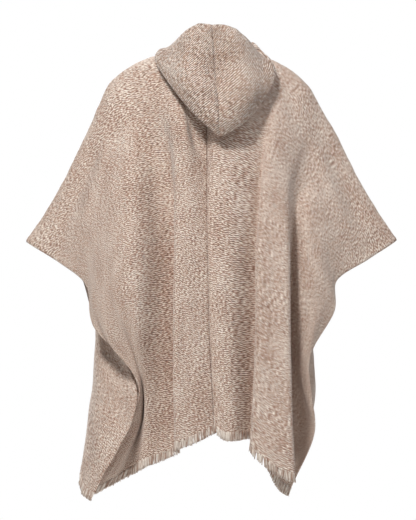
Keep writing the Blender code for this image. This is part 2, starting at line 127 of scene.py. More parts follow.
# Adds one node, sets its properties and socket values, and links the sockets named.
def addNode(tree, kind, settings=None, values=None, links=None):
    node = tree.nodes.new("ShaderNode" + kind)
    for key, value in (settings or {}).items():
        setattr(node, key, value)
    for key, value in (values or {}).items():
        node.inputs[key].default_value = value
    for key, source in (links or {}).items():
        tree.links.new(source, node.inputs[key])
    return node


# Seamless studio paper: matt, near white, and seen pale as far as it reaches.
def paper():
    material = bpy.data.materials.new("studio paper")
    material.use_nodes = True
    shader = material.node_tree.nodes["Principled BSDF"]
    shader.inputs["Base Color"].default_value = linear("#F2F1EF")
    shader.inputs["Roughness"].default_value = 0.9
    shader.inputs["Emission Color"].default_value = linear("#FFFFFF")
    path = addNode(material.node_tree, "LightPath")
    glow = addNode(material.node_tree, "Math", {"operation": "MULTIPLY"},
                   {1: studio["floorGlow"]}, {0: path.outputs["Is Camera Ray"]})
    material.node_tree.links.new(glow.outputs[0], shader.inputs["Emission Strength"])
    return material


makeStudio()
print("studio ready")

# How the cloth is cut: two straight lengths, each from the back hem over the shoulder to the
# front hem, sewn together down the centre but for the neck slit.
garment = {
    "wall": 0.0025,
    "seamGap": 0.0,
    "neckGap": 0.0016,
    "panelWidth": 0.61,
    "backLength": 0.94,
    "frontLength": 0.92,
    "neckHalfWidth": 0.072,
    "neckBack": 0.100,
    "neckFront": 0.235,
    "fringeLength": 0.018,
    "edgeReach": 0.07,
}

# How far down a thread each level lies, as a share of its length from shoulder to hem.
levels = (0.0, 0.11, 0.22, 0.36, 0.50, 0.64, 0.80, 1.0)

# The line over the top of each shoulder and arm: distance from the slit, x, y, z.
shoulderLeft = (
    (0.000, -0.072, -0.015, 0.000),
    (0.050, -0.123, -0.015, 0.009),
    (0.100, -0.173, -0.014, -0.007),
    (0.145, -0.210, -0.012, -0.030),
    (0.190, -0.242, -0.009, -0.059),
    (0.250, -0.270, -0.004, -0.115),
    (0.364, -0.318, 0.003, -0.221),
    (0.446, -0.355, 0.008, -0.296),
    (0.540, -0.404, 0.014, -0.377),
    (0.610, -0.445, 0.020, -0.441),
)
shoulderRight = (
    (0.000, 0.072, -0.015, 0.000),
    (0.050, 0.122, -0.015, 0.006),
    (0.105, 0.177, -0.014, -0.016),
    (0.140, 0.206, -0.012, -0.035),
    (0.180, 0.236, -0.009, -0.064),
    (0.240, 0.266, -0.004, -0.114),
    (0.323, 0.307, 0.001, -0.186),
    (0.397, 0.340, 0.006, -0.254),
    (0.500, 0.393, 0.012, -0.347),
    (0.610, 0.452, 0.020, -0.437),
)

# Each quarter of the cloth: a row for each crest, edge or hollow that runs down it, with its
# distance from the centre, the height of its fringe tips, and its x and y at the levels below
# the shoulder.
backLeft = (
    ("centre seam", 0.000, -0.902,
     (-0.003, -0.007, -0.007, -0.007, -0.004, 0.000, 0.010),
     (-0.072, -0.090, -0.124, -0.144, -0.150, -0.148, -0.142)),
    ("inner crest", 0.070, -0.930,
     (-0.079, -0.060, -0.058, -0.058, -0.060, -0.060, -0.048),
     (-0.092, -0.138, -0.157, -0.165, -0.168, -0.167, -0.164)),
    ("crest edge", 0.115, -0.944,
     (-0.119, -0.091, -0.085, -0.085, -0.087, -0.087, -0.085),
     (-0.088, -0.128, -0.147, -0.158, -0.163, -0.165, -0.161)),
    ("tuck", 0.155, -0.952,
     (-0.148, -0.108, -0.088, -0.080, -0.077, -0.076, -0.076),
     (-0.076, -0.095, -0.092, -0.086, -0.081, -0.078, -0.077)),
    ("hollow", 0.195, -0.968,
     (-0.186, -0.143, -0.126, -0.119, -0.115, -0.113, -0.110),
     (-0.068, -0.085, -0.091, -0.091, -0.089, -0.083, -0.077)),
    ("hollow side", 0.240, -0.981,
     (-0.208, -0.182, -0.173, -0.169, -0.165, -0.152, -0.147),
     (-0.066, -0.110, -0.133, -0.142, -0.136, -0.106, -0.090)),
    ("outer crest", 0.310, -0.999,
     (-0.254, -0.230, -0.223, -0.221, -0.188, -0.155, -0.178),
     (-0.058, -0.104, -0.134, -0.146, -0.136, -0.090, -0.070)),
    ("outer slope", 0.400, -1.017,
     (-0.295, -0.266, -0.252, -0.236, -0.181, -0.160, -0.210),
     (-0.050, -0.092, -0.122, -0.136, -0.110, -0.058, -0.064)),
    ("wing", 0.500, -1.037,
     (-0.333, -0.289, -0.276, -0.250, -0.175, -0.172, -0.244),
     (-0.042, -0.082, -0.106, -0.118, -0.108, -0.082, -0.080)),
    ("selvedge", 0.610, -1.051,
     (-0.362, -0.301, -0.281, -0.204, -0.169, -0.222, -0.273),
     (-0.030, -0.068, -0.092, -0.110, -0.112, -0.080, -0.092)),
)
backRight = (
    ("centre seam", 0.000, -0.898,
     (-0.003, -0.007, -0.007, -0.007, -0.004, 0.000, 0.010),
     (-0.072, -0.090, -0.124, -0.144, -0.150, -0.148, -0.142)),
    ("seam ridge", 0.028, -0.917,
     (0.024, 0.009, 0.009, 0.012, 0.013, 0.018, 0.030),
     (-0.088, -0.134, -0.152, -0.160, -0.161, -0.157, -0.151)),
    ("inner crest", 0.070, -0.920,
     (0.079, 0.055, 0.050, 0.050, 0.048, 0.048, 0.058),
     (-0.090, -0.134, -0.152, -0.158, -0.158, -0.155, -0.151)),
    ("inner hollow", 0.125, -0.921,
     (0.149, 0.131, 0.123, 0.116, 0.115, 0.112, 0.100),
     (-0.084, -0.112, -0.120, -0.118, -0.112, -0.107, -0.103)),
    ("great fold start", 0.155, -0.947,
     (0.173, 0.143, 0.122, 0.111, 0.110, 0.107, 0.097),
     (-0.082, -0.124, -0.147, -0.159, -0.164, -0.166, -0.166)),
    ("great fold crest", 0.205, -0.996,
     (0.202, 0.170, 0.158, 0.154, 0.151, 0.154, 0.154),
     (-0.075, -0.123, -0.151, -0.168, -0.177, -0.183, -0.187)),
    ("great fold edge", 0.255, -1.018,
     (0.226, 0.192, 0.188, 0.191, 0.192, 0.194, 0.202),
     (-0.064, -0.112, -0.142, -0.160, -0.170, -0.176, -0.179)),
    ("recess wall", 0.300, -1.004,
     (0.240, 0.206, 0.190, 0.182, 0.175, 0.168, 0.156),
     (-0.056, -0.090, -0.098, -0.094, -0.086, -0.080, -0.078)),
    ("recess", 0.345, -0.980,
     (0.262, 0.219, 0.203, 0.199, 0.195, 0.184, 0.138),
     (-0.052, -0.084, -0.088, -0.080, -0.064, -0.050, -0.058)),
    ("outer start", 0.375, -0.990,
     (0.279, 0.240, 0.222, 0.216, 0.209, 0.200, 0.143),
     (-0.050, -0.091, -0.109, -0.110, -0.086, -0.050, -0.045)),
    ("outer crest", 0.430, -1.023,
     (0.304, 0.262, 0.248, 0.239, 0.216, 0.219, 0.160),
     (-0.047, -0.093, -0.115, -0.117, -0.096, -0.054, -0.047)),
    ("wing", 0.520, -1.047,
     (0.346, 0.292, 0.280, 0.247, 0.224, 0.238, 0.178),
     (-0.039, -0.082, -0.105, -0.115, -0.098, -0.068, -0.059)),
    ("selvedge", 0.610, -1.056,
     (0.382, 0.308, 0.299, 0.239, 0.245, 0.251, 0.194),
     (-0.028, -0.066, -0.090, -0.105, -0.098, -0.084, -0.067)),
)
frontLeft = (
    ("centre seam", 0.000, -0.869,
     (-0.062, -0.017, 0.000, 0.000, 0.000, 0.000, 0.000),
     (0.055, 0.105, 0.125, 0.130, 0.130, 0.130, 0.130)),
    ("inner crest", 0.100, -0.878,
     (-0.139, -0.101, -0.082, -0.077, -0.077, -0.077, -0.077),
     (0.045, 0.100, 0.130, 0.145, 0.152, 0.158, 0.160)),
    ("hollow", 0.200, -0.888,
     (-0.211, -0.173, -0.154, -0.144, -0.139, -0.139, -0.139),
     (0.040, 0.085, 0.110, 0.118, 0.120, 0.120, 0.120)),
    ("outer crest", 0.300, -0.907,
     (-0.259, -0.233, -0.218, -0.211, -0.206, -0.206, -0.206),
     (0.035, 0.075, 0.105, 0.125, 0.140, 0.145, 0.145)),
    ("side", 0.380, -0.931,
     (-0.293, -0.266, -0.250, -0.254, -0.259, -0.264, -0.271),
     (0.035, 0.060, 0.080, 0.090, 0.085, 0.080, 0.075)),
    ("side turn", 0.440, -0.988,
     (-0.314, -0.286, -0.269, -0.275, -0.280, -0.285, -0.306),
     (0.033, 0.050, 0.055, 0.035, 0.010, -0.010, -0.030)),
    ("wing", 0.520, -1.043,
     (-0.341, -0.302, -0.278, -0.269, -0.257, -0.258, -0.306),
     (0.034, 0.040, 0.030, -0.010, -0.060, -0.090, -0.090)),
    ("selvedge", 0.610, -1.066,
     (-0.379, -0.322, -0.281, -0.226, -0.177, -0.195, -0.279),
     (0.035, 0.030, -0.008, -0.068, -0.100, -0.140, -0.135)),
)
frontRight = (
    ("centre seam", 0.000, -0.869,
     (0.062, 0.017, 0.000, 0.000, 0.000, 0.000, 0.000),
     (0.055, 0.105, 0.125, 0.130, 0.130, 0.130, 0.130)),
    ("inner crest", 0.100, -0.878,
     (0.139, 0.101, 0.082, 0.077, 0.077, 0.077, 0.077),
     (0.045, 0.100, 0.130, 0.145, 0.155, 0.160, 0.165)),
    ("hollow", 0.200, -0.893,
     (0.211, 0.173, 0.154, 0.144, 0.139, 0.139, 0.139),
     (0.040, 0.085, 0.108, 0.115, 0.115, 0.115, 0.115)),
    ("outer crest", 0.300, -0.912,
     (0.259, 0.233, 0.214, 0.202, 0.192, 0.187, 0.182),
     (0.035, 0.075, 0.105, 0.120, 0.130, 0.135, 0.135)),
    ("side", 0.380, -0.936,
     (0.295, 0.264, 0.240, 0.223, 0.216, 0.216, 0.216),
     (0.035, 0.060, 0.080, 0.085, 0.085, 0.085, 0.080)),
    ("side turn", 0.460, -0.970,
     (0.326, 0.288, 0.264, 0.240, 0.246, 0.249, 0.214),
     (0.030, 0.050, 0.050, 0.035, 0.030, 0.025, 0.020)),
    ("wing", 0.530, -0.995,
     (0.350, 0.302, 0.272, 0.243, 0.250, 0.251, 0.205),
     (0.025, 0.035, 0.020, 0.000, -0.010, -0.015, -0.020)),
    ("selvedge", 0.610, -1.010,
     (0.379, 0.322, 0.278, 0.230, 0.238, 0.241, 0.189),
     (0.030, 0.020, -0.005, -0.030, -0.040, -0.045, -0.050)),
)

# The share of its whole drop that a thread has made at each level: at the centre, near the
# neck and at the selvedge.
dropPlaces = (0.0, 0.12, garment["panelWidth"])
backDropsLeft = (
    (0.000, 0.020, 0.140, 0.295, 0.455, 0.620, 0.785, 1.0),
    (0.000, 0.075, 0.175, 0.320, 0.465, 0.615, 0.780, 1.0),
    (0.000, 0.088, 0.173, 0.345, 0.482, 0.618, 0.795, 1.0),
)
backDropsRight = (
    (0.000, 0.020, 0.140, 0.295, 0.455, 0.620, 0.785, 1.0),
    (0.000, 0.075, 0.175, 0.320, 0.465, 0.615, 0.780, 1.0),
    (0.000, 0.078, 0.157, 0.287, 0.469, 0.622, 0.772, 1.0),
)
frontDropsLeft = (
    (0.000, 0.050, 0.190, 0.360, 0.510, 0.665, 0.835, 1.0),
    (0.000, 0.070, 0.175, 0.320, 0.465, 0.615, 0.780, 1.0),
    (0.000, 0.040, 0.110, 0.300, 0.438, 0.580, 0.725, 1.0),
)
frontDropsRight = (
    (0.000, 0.050, 0.190, 0.360, 0.510, 0.665, 0.835, 1.0),
    (0.000, 0.070, 0.175, 0.320, 0.465, 0.615, 0.780, 1.0),
    (0.000, 0.050, 0.115, 0.290, 0.470, 0.610, 0.755, 1.0),
)

leftCloth = dict(side=-1, shoulder=shoulderLeft, back=backLeft, front=frontLeft,
                 backDrops=backDropsLeft, frontDrops=frontDropsLeft)
rightCloth = dict(side=1, shoulder=shoulderRight, back=backRight, front=frontRight,
                  backDrops=backDropsRight, frontDrops=frontDropsRight)

# The hood hangs behind as an empty bag. A row for each section round the neck: its place along
# the slit, the way it faces from straight back, the collar's rise, the bag's outermost fold, the
# gap between its layers, how far it leans from hanging to lying flat, and the turn at its top.
hoodLeft = (
    ("centre back", -0.100, 0, 0.030, (0.022, -0.180, -0.190), 0.030, 0, (0.004, -0.116, 0.080)),
    ("back", -0.075, 20, 0.028, (-0.030, -0.174, -0.143), 0.036, 5, (-0.030, -0.118, 0.081)),
    ("back side", -0.050, 45, 0.024, (-0.082, -0.142, -0.082), 0.028, 15, (-0.062, -0.096, 0.060)),
    ("shoulder back", -0.025, 66, 0.018, (-0.132, -0.078, -0.003), 0.015, 45,
     (-0.092, -0.058, 0.029)),
    ("shoulder", 0.000, 88, 0.012, (-0.106, -0.020, 0.018), 0.012, 62, (-0.087, -0.018, 0.028)),
    ("front side", 0.070, 115, 0.010, (-0.100, 0.042, 0.002), 0.014, 66, (-0.080, 0.034, 0.017)),
    ("front", 0.140, 140, 0.010, (-0.074, 0.096, -0.062), 0.014, 56, (-0.056, 0.088, -0.042)),
    ("slit foot", 0.235, 160, 0.009, (-0.028, 0.136, -0.178), 0.013, 45, (-0.018, 0.132, -0.158)),
)
hoodRight = (
    ("centre back", -0.100, 0, 0.030, (0.022, -0.180, -0.190), 0.030, 0, (0.004, -0.116, 0.080)),
    ("back", -0.075, 20, 0.028, (0.074, -0.174, -0.161), 0.036, 5, (0.042, -0.118, 0.077)),
    ("back side", -0.050, 45, 0.024, (0.116, -0.142, -0.118), 0.028, 15, (0.076, -0.096, 0.056)),
    ("shoulder back", -0.025, 66, 0.018, (0.157, -0.092, -0.038), 0.015, 45,
     (0.108, -0.062, 0.017)),
    ("shoulder", 0.000, 86, 0.012, (0.124, -0.024, 0.018), 0.012, 62, (0.098, -0.020, 0.025)),
    ("front side", 0.070, 115, 0.010, (0.102, 0.042, 0.002), 0.014, 66, (0.082, 0.034, 0.016)),
    ("front", 0.140, 140, 0.010, (0.074, 0.096, -0.062), 0.014, 56, (0.056, 0.088, -0.042)),
    ("slit foot", 0.235, 160, 0.009, (0.031, 0.137, -0.176), 0.014, 45, (0.021, 0.132, -0.155)),
)


# A smooth curve through the values: its slope at a knot is the mean of those beside it.
def curveThrough(knots, values, at):
    knots = np.asarray(knots, float)
    values = np.asarray(values, float)
    at = np.asarray(at, float)
    shape = (-1,) + (1,) * (values.ndim - 1)
    step = np.diff(knots).reshape(shape)
    rise = np.diff(values, axis=0) / step
    inner = (rise[:-1] * step[1:] + rise[1:] * step[:-1]) / (step[:-1] + step[1:])
    slope = np.concatenate([rise[:1], inner, rise[-1:]])
    index = np.clip(np.searchsorted(knots, at, side="right") - 1, 0, len(knots) - 2)
    width = step[index]
    f = (at - knots[index]).reshape(shape) / width
    start = values[index] * (1 + 2 * f) + slope[index] * width * f
    end = values[index + 1] * (3 - 2 * f) - slope[index + 1] * width * (1 - f)
    return start * (1 - f) ** 2 + end * f**2


# The cloth's points at each level of one face: x and y from its rows, height from the drops.
def levelCurves(cloth, face, across):
    rows = cloth[face]
    places = [row[1] for row in rows]
    arm = np.array(cloth["shoulder"])
    top = curveThrough(arm[:, 0], arm[:, 1:], across)
    hem = curveThrough(places, [[row[2]] for row in rows], across)[:, 0] + garment["fringeLength"]
    drops = np.array(cloth[face + "Drops"])
    share = np.array([np.interp(across, dropPlaces, drops[:, n]) for n in range(len(levels))])
    curves = np.empty((len(levels), len(across), 3))
    curves[0] = top
    curves[1:, :, 0] = curveThrough(places, [row[3] for row in rows], across).T
    curves[1:, :, 1] = curveThrough(places, [row[4] for row in rows], across).T
    curves[:, :, 2] = top[:, 2] + (hem - top[:, 2]) * share
    return curves


# Half the width of the neck slit: a cosine that closes at both ends.
def neckHalfWidth(along):
    reach = np.where(along < 0, -along / garment["neckBack"], along / garment["neckFront"])
    opening = garment["neckHalfWidth"] * np.cos(np.clip(reach, 0, 1) * np.pi / 2)
    return np.where(reach < 1, opening, 0)


# The middle surface of a length as points[u, s]: u from the centre, s from the shoulder.
def clothPoints(cloth, across, along):
    back = levelCurves(cloth, "back", across)
    front = levelCurves(cloth, "front", across)
    reached = np.array(levels)
    knots = np.concatenate([-reached[:0:-1] * garment["backLength"],
                            reached * garment["frontLength"]])
    points = curveThrough(knots, np.concatenate([back[:0:-1], front]), along).transpose(1, 0, 2)
    centreKnots = np.concatenate([knots[:len(levels) - 1], [0.0, garment["frontLength"]]])
    centre = curveThrough(centreKnots, cloth["back"][0][3][::-1] + (0.0, 0.0), along)
    edge = centre + cloth["side"] * (neckHalfWidth(along) + garment["seamGap"] / 2)
    fade = np.clip(1 - across / garment["edgeReach"], 0, 1)[:, None] ** 2
    points[:, :, 0] += fade * (edge - points[0, :, 0])
    return points


def unit(vectors):
    return vectors / np.linalg.norm(vectors, axis=-1, keepdims=True)


def gridNormals(points, side):
    return unit(side * np.cross(np.gradient(points, axis=0), np.gradient(points, axis=1)))


# Turns the normals of the first row flat to the plane that two halves meet in.
def straightenEdge(normals, points, weight=1.0):
    flat = unit(np.cross([1.0, 0.0, 0.0], np.gradient(points[0], axis=0)))
    flat *= np.sign((flat * normals[0]).sum(axis=1, keepdims=True))
    weight = np.broadcast_to(weight, len(flat))[:, None]
    normals[0] = unit(normals[0] * (1 - weight) + flat * weight)


# The share of a crease, at each end, over which it fades out.
creaseFade = 0.25


# How far each point moves along its normal: each row is a ridge or trough along a line
# seen from straight behind, a bell curve across it that fades at both ends.
def creases(points, rows):
    moved = np.zeros(points.shape[:-1])
    x, z = points[..., 0], points[..., 2]
    for name, (ax, az), (bx, bz), width, height in rows:
        dx, dz = bx - ax, bz - az
        along = ((x - ax) * dx + (z - az) * dz) / (dx * dx + dz * dz)
        off = ((x - ax) * dz - (z - az) * dx) / np.hypot(dx, dz)
        ends = np.clip(along / creaseFade, 0, 1) * np.clip((1 - along) / creaseFade, 0, 1)
        moved += height * np.exp(-(off / width) ** 2) * (ends * ends * (3 - 2 * ends))
    return moved


# Small uneven waves: how many, how much longer each is than the last, how far they turn from
# the thread, and how they sway along it.
waves = {
    "count": 14,
    "growth": 0.45,
    "turn": 0.5,
    "alongShare": 0.35,
    "swayLength": 3.1,
    "sway": 1.4,
    "weakest": 0.4,
}


# Uneven waves of many directions: a sum of sines of growing length.
def ripple(u, s, seed, shortest, height):
    rng = np.random.default_rng(seed)
    total = np.zeros(np.broadcast(u, s).shape)
    for wave in range(waves["count"]):
        span = shortest * (1 + wave * waves["growth"])
        turn = rng.uniform(-waves["turn"], waves["turn"])
        phase = rng.uniform(0, 2 * np.pi)
        lean = u * np.cos(turn) + waves["alongShare"] * s * np.sin(turn)
        sway = np.sin(s * 2 * np.pi / (span * waves["swayLength"]) + phase)
        strength = rng.uniform(waves["weakest"], 1.0)
        total += np.sin(lean * 2 * np.pi / span + waves["sway"] * sway + phase) * strength
    return total / waves["count"]**0.5 * height


# A closed wall about a grid: both faces lie half the wall from it, joined along the edges.
def makeShell(name, points, normals, side, uv, half):
    rows, columns = points.shape[:2]
    outer = points + normals * half[..., None]
    inner = points - normals * half[..., None]
    vertices = np.concatenate([outer.reshape(-1, 3), inner.reshape(-1, 3)])
    number = np.arange(rows * columns).reshape(rows, columns)
    under = number + rows * columns
    parts = [(number[:-1, :-1], number[1:, :-1], number[1:, 1:], number[:-1, 1:]),
             (under[:-1, :-1], under[:-1, 1:], under[1:, 1:], under[1:, :-1]),
             (number[0, :-1], number[0, 1:], under[0, 1:], under[0, :-1]),
             (number[-1, 1:], number[-1, :-1], under[-1, :-1], under[-1, 1:]),
             (number[1:, 0], number[:-1, 0], under[:-1, 0], under[1:, 0]),
             (number[:-1, -1], number[1:, -1], under[1:, -1], under[:-1, -1])]
    faces = np.concatenate([np.stack([c.ravel() for c in part], axis=1) for part in parts])
    if side < 0:
        faces = faces[:, ::-1]
    flat = np.concatenate([uv.reshape(-1, 2), uv.reshape(-1, 2)])
    return addPiece(name, vertices, faces.tolist(), uv=flat)


# A smooth mesh on the root body, with a weave map or a tone for each vertex.
def addPiece(name, vertices, faces, uv=None, tone=None):
    mesh = bpy.data.meshes.new(name)
    mesh.from_pydata(vertices.tolist(), [], faces)
    mesh.shade_smooth()
    if uv is not None:
        corner = np.empty(len(mesh.loops), np.int32)
        mesh.loops.foreach_get("vertex_index", corner)
        layer = mesh.uv_layers.new(name="weave")
        layer.data.foreach_set("uv", uv[corner].astype(np.float32).ravel())
    if tone is not None:
        layer = mesh.attributes.new("tone", "FLOAT", "POINT")
        layer.data.foreach_set("value", tone.astype(np.float32))
    piece = bpy.data.objects.new(name, mesh)
    bpy.context.scene.collection.objects.link(piece)
    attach(piece, "root")
    return piece


# Brushed broken twill of marled wool: off-white and rosy brown fibres spun together, so the eye
# sees short pale and brown dashes in wavering lines, on a matt and slightly hairy cloth. The
# lines lie 5 mm apart up the cloth and turn up or down every 7 to 12 mm. Lengths are in metres.
twill = {
    "pitch": 0.0049,
    "turnAcross": 0.0085,
    "turnAlong": 0.050,
    "swing": 1.9,
    "dashLength": 0.0070,
    "dashWidth": 0.0023,
    "dashShare": 0.55,
    "toneLength": 0.070,
    "tone": 0.10,
    "deep": "#6F5342",
    "rosy": "#AE8877",
    "mid": "#CDB8A8",
    "pale": "#F3EBE1",
    "stops": (0.37, 0.45, 0.53, 0.62),
    "lineHeight": 0.16,
    "napScale": 900.0,
    "napShare": 0.25,
    "bump": 0.0014,
    "bumpStrength": 0.6,
    "roughness": 0.95,
    "sheen": 0.25,
    "sheenRoughness": 0.6,
    "specular": 0.2,
}


# The hood is the same cloth with a coarser, more contrasting palette, darker between the dashes
# and leaning one way: the stronger contrast is the weave, and the darker overall tone is painted
# shade.
hoodLookPaintedShade = {
    "pitch": 0.0057,
    "swing": 0.35,
    "dashLength": 0.0060,
    "dashWidth": 0.0027,
    "dashShare": 0.44,
    "deep": "#3C2A1C",
    "rosy": "#835F4C",
    "mid": "#BFA594",
    "pale": "#F8F1E8",
}


# The lines are a sine of the height up the cloth, led up or down by noise in narrow columns.
# slant leads them all one way: 1 is 45 degrees. A noise along them breaks them into dashes.
def woolTwill(name, slant, look):
    material = bpy.data.materials.new(name)
    material.use_nodes = True
    tree = material.node_tree
    shader = tree.nodes["Principled BSDF"]
    place = addNode(tree, "UVMap", {"uv_map": "weave"}).outputs["UV"]
    columns = addNode(tree, "Mapping", {"vector_type": "TEXTURE"},
                      {"Scale": (look["turnAcross"], look["turnAlong"], 1)}, {"Vector": place})
    lead = addNode(tree, "TexNoise", {"noise_dimensions": "2D"}, {"Scale": 1.0, "Detail": 1.0},
                   {"Vector": columns.outputs[0]})
    parts = addNode(tree, "SeparateXYZ", {}, {}, {0: place})
    risen = addNode(tree, "Math", {"operation": "MULTIPLY_ADD"}, {1: slant},
                    {0: parts.outputs["X"], 2: parts.outputs["Y"]})
    turns = 2 * np.pi / look["pitch"]
    phase = addNode(tree, "Math", {"operation": "MULTIPLY"}, {1: turns}, {0: risen.outputs[0]})
    led = addNode(tree, "Math", {"operation": "MULTIPLY_ADD"}, {1: look["swing"] * 2 * np.pi},
                  {0: lead.outputs[0], 2: phase.outputs[0]})
    wave = addNode(tree, "Math", {"operation": "SINE"}, {}, {0: led.outputs[0]})
    lines = addNode(tree, "Math", {"operation": "MULTIPLY_ADD"},
                    {1: look["lineHeight"], 2: 0.5}, {0: wave.outputs[0]})
    tilted = addNode(tree, "Mapping", {"vector_type": "TEXTURE"},
                     {"Rotation": (0, 0, -np.arctan(slant)),
                      "Scale": (look["dashLength"], look["dashWidth"], 1)}, {"Vector": place})
    dashes = addNode(tree, "TexNoise", {"noise_dimensions": "2D"},
                     {"Scale": 1.0, "Detail": 1.0, "Roughness": 0.5},
                     {"Vector": tilted.outputs[0]})
    woven = addNode(tree, "Mix", {"data_type": "FLOAT"}, {0: look["dashShare"]},
                    {2: lines.outputs[0], 3: dashes.outputs[0]})
    broad = addNode(tree, "TexNoise", {"noise_dimensions": "2D"},
                    {"Scale": 1 / look["toneLength"], "Detail": 2.0}, {"Vector": place})
    level = addNode(tree, "Math", {"operation": "MULTIPLY_ADD"},
                    {1: look["tone"], 2: -look["tone"] / 2}, {0: broad.outputs[0]})
    shade = addNode(tree, "Math", {"operation": "ADD"}, {},
                    {0: woven.outputs[0], 1: level.outputs[0]})
    ramp = addNode(tree, "ValToRGB", {}, {}, {"Fac": shade.outputs[0]})
    stops = ramp.color_ramp.elements
    first, second, third, last = look["stops"]
    stops[0].position, stops[0].color = first, linear(look["deep"])
    stops[1].position, stops[1].color = last, linear(look["pale"])
    stops.new(second).color = linear(look["rosy"])
    stops.new(third).color = linear(look["mid"])
    nap = addNode(tree, "TexNoise", {"noise_dimensions": "2D"},
                  {"Scale": look["napScale"], "Detail": 2.0}, {"Vector": place})
    height = addNode(tree, "Mix", {"data_type": "FLOAT"}, {"Factor": look["napShare"]},
                     {2: woven.outputs[0], 3: nap.outputs[0]})
    bump = addNode(tree, "Bump", {},
                   {"Strength": look["bumpStrength"], "Distance": look["bump"]},
                   {"Height": height.outputs[0]})
    tree.links.new(ramp.outputs["Color"], shader.inputs["Base Color"])
    tree.links.new(bump.outputs["Normal"], shader.inputs["Normal"])
    shader.inputs["Roughness"].default_value = look["roughness"]
    shader.inputs["Sheen Weight"].default_value = look["sheen"]
    shader.inputs["Sheen Roughness"].default_value = look["sheenRoughness"]
    shader.inputs["Specular IOR Level"].default_value = look["specular"]
    return material


# The two woven lengths: cells of their grids, and the sizes of seam, selvedge and ripples.
length = {
    "acrossCells": 132,
    "alongCells": 300,
    "seamDip": 0.0016,
    "seamWidth": 0.004,
    "selvedgeBead": 0.0007,
    "selvedgeWidth": 0.008,
    "rippleHeight": 0.0010,
    "rippleLength": 0.035,
    "shoulderReach": 0.10,
    "sewnEdge": 0.004,
    "sewnReach": 0.03,
    "roundedEdge": 0.002,
}

# Creases as seen from straight behind: name, upper end (x, z), lower end, half width, height.
backCreases = (
    ("shoulder hollow left", (-0.175, -0.030), (-0.205, -0.170), 0.016, -0.004),
    ("shoulder hollow right", (0.185, -0.035), (0.205, -0.160), 0.014, -0.004),
    ("arm edge left", (-0.262, -0.170), (-0.380, -0.450), 0.020, -0.011),
    ("arm crest left", (-0.235, -0.150), (-0.320, -0.460), 0.014, 0.004),
    ("arm edge right", (0.262, -0.150), (0.390, -0.430), 0.020, -0.011),
    ("arm crest right", (0.225, -0.140), (0.345, -0.450), 0.015, 0.004),
    ("tip dent right", (0.370, -0.440), (0.415, -0.470), 0.012, -0.004),
    ("side pull left", (-0.225, -0.440), (-0.245, -0.660), 0.018, -0.005),
    ("under the hood left", (-0.085, -0.030), (-0.004, -0.260), 0.018, -0.016),
)
frontCreases = (
    ("left drape", (-0.110, -0.080), (-0.200, -0.560), 0.022, 0.008),
    ("left drape side", (-0.160, -0.100), (-0.250, -0.500), 0.018, -0.007),
    ("right drape", (0.120, -0.090), (0.190, -0.600), 0.020, 0.008),
    ("right drape side", (0.175, -0.120), (0.255, -0.480), 0.016, -0.007),
    ("left hollow", (-0.062, -0.230), (-0.046, -1.000), 0.016, -0.009),
    ("left ridge", (-0.100, -0.300), (-0.098, -1.050), 0.014, 0.008),
    ("right hollow", (0.072, -0.250), (0.052, -1.000), 0.015, -0.009),
    ("right ridge", (0.112, -0.320), (0.092, -1.050), 0.013, 0.007),
    ("breast pull left", (-0.020, -0.240), (-0.150, -0.330), 0.014, 0.004),
    ("breast pull right", (0.022, -0.250), (0.160, -0.350), 0.013, 0.004),
    ("leaf hollow", (-0.250, -0.620), (-0.205, -0.930), 0.030, -0.016),
    ("leaf ridge", (-0.285, -0.800), (-0.250, -1.040), 0.016, 0.004),
)


# A length of cloth: the middle surface, moved along its normals by creases and ripples.
def makeLength(name, node, cloth, seed, material):
    across = np.linspace(0, garment["panelWidth"], length["acrossCells"] + 1)
    ends = [-garment["backLength"], -garment["neckBack"], 0.0, garment["neckFront"],
            garment["frontLength"]]
    total = ends[-1] - ends[0]
    pieces = [np.linspace(a, b, max(2, round((b - a) / total * length["alongCells"])),
                          endpoint=False) for a, b in zip(ends, ends[1:])]
    along = np.concatenate(pieces + [ends[-1:]])
    points = clothPoints(cloth, across, along)
    normals = gridNormals(points, cloth["side"])
    openShare = neckHalfWidth(along) / garment["neckHalfWidth"]
    sewnShare = np.clip(1 - openShare * 2, 0, 1)
    straightenEdge(normals, points, sewnShare)
    u, s = across[:, None], along[None, :]
    clear = np.clip(np.abs(s) / length["shoulderReach"], 0, 1)
    moved = np.where(s < 0, creases(points, backCreases), creases(points, frontCreases)) * clear
    moved += ripple(u, s, seed, length["rippleLength"], length["rippleHeight"])
    sewn = np.clip((u - length["sewnEdge"]) / length["sewnReach"], 0, 1)
    moved *= sewn
    slit = neckHalfWidth(along)[None, :] > 0
    moved -= np.where(slit, 0, length["seamDip"] * np.exp(-(u / length["seamWidth"]) ** 2))
    points = points + normals * moved[..., None]
    normals = gridNormals(points, cloth["side"])
    straightenEdge(normals, points, sewnShare)
    fromEdge = garment["panelWidth"] - u
    bead = np.exp(-((fromEdge - length["sewnEdge"]) / length["selvedgeWidth"]) ** 4)
    edge = length["roundedEdge"]
    worn = np.sqrt(np.clip(1 - (1 - fromEdge / edge) ** 2, 0.05, 1))
    half = garment["wall"] / 2 + length["selvedgeBead"] * bead
    half = half * np.where(fromEdge < edge, worn, 1) + 0 * s
    uv = np.stack(np.broadcast_arrays(u * cloth["side"], s), axis=-1)
    piece = makeShell(name, points, normals, cloth["side"], uv, half)
    piece.data.materials.append(material)
    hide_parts(node)
    print(name, len(piece.data.polygons) * 2, "triangles")
    return piece, points, normals


leftTwill = woolTwill("brushed broken twill", 0.6, twill)
rightTwill = woolTwill("brushed broken twill turning evenly", 0.1, twill)
# The hood's material is the same twill with painted shade: its palette is darker than the lengths'
# although it is the same cloth.
hoodTwillPaintedShade = woolTwill("brushed twill on the hood with painted shade", -1.0, {**twill, **hoodLookPaintedShade})
left = makeLength("clothLeft", "panel_left", leftCloth, 3, leftTwill)
right = makeLength("clothRight", "panel_right", rightCloth, 8, rightTwill)


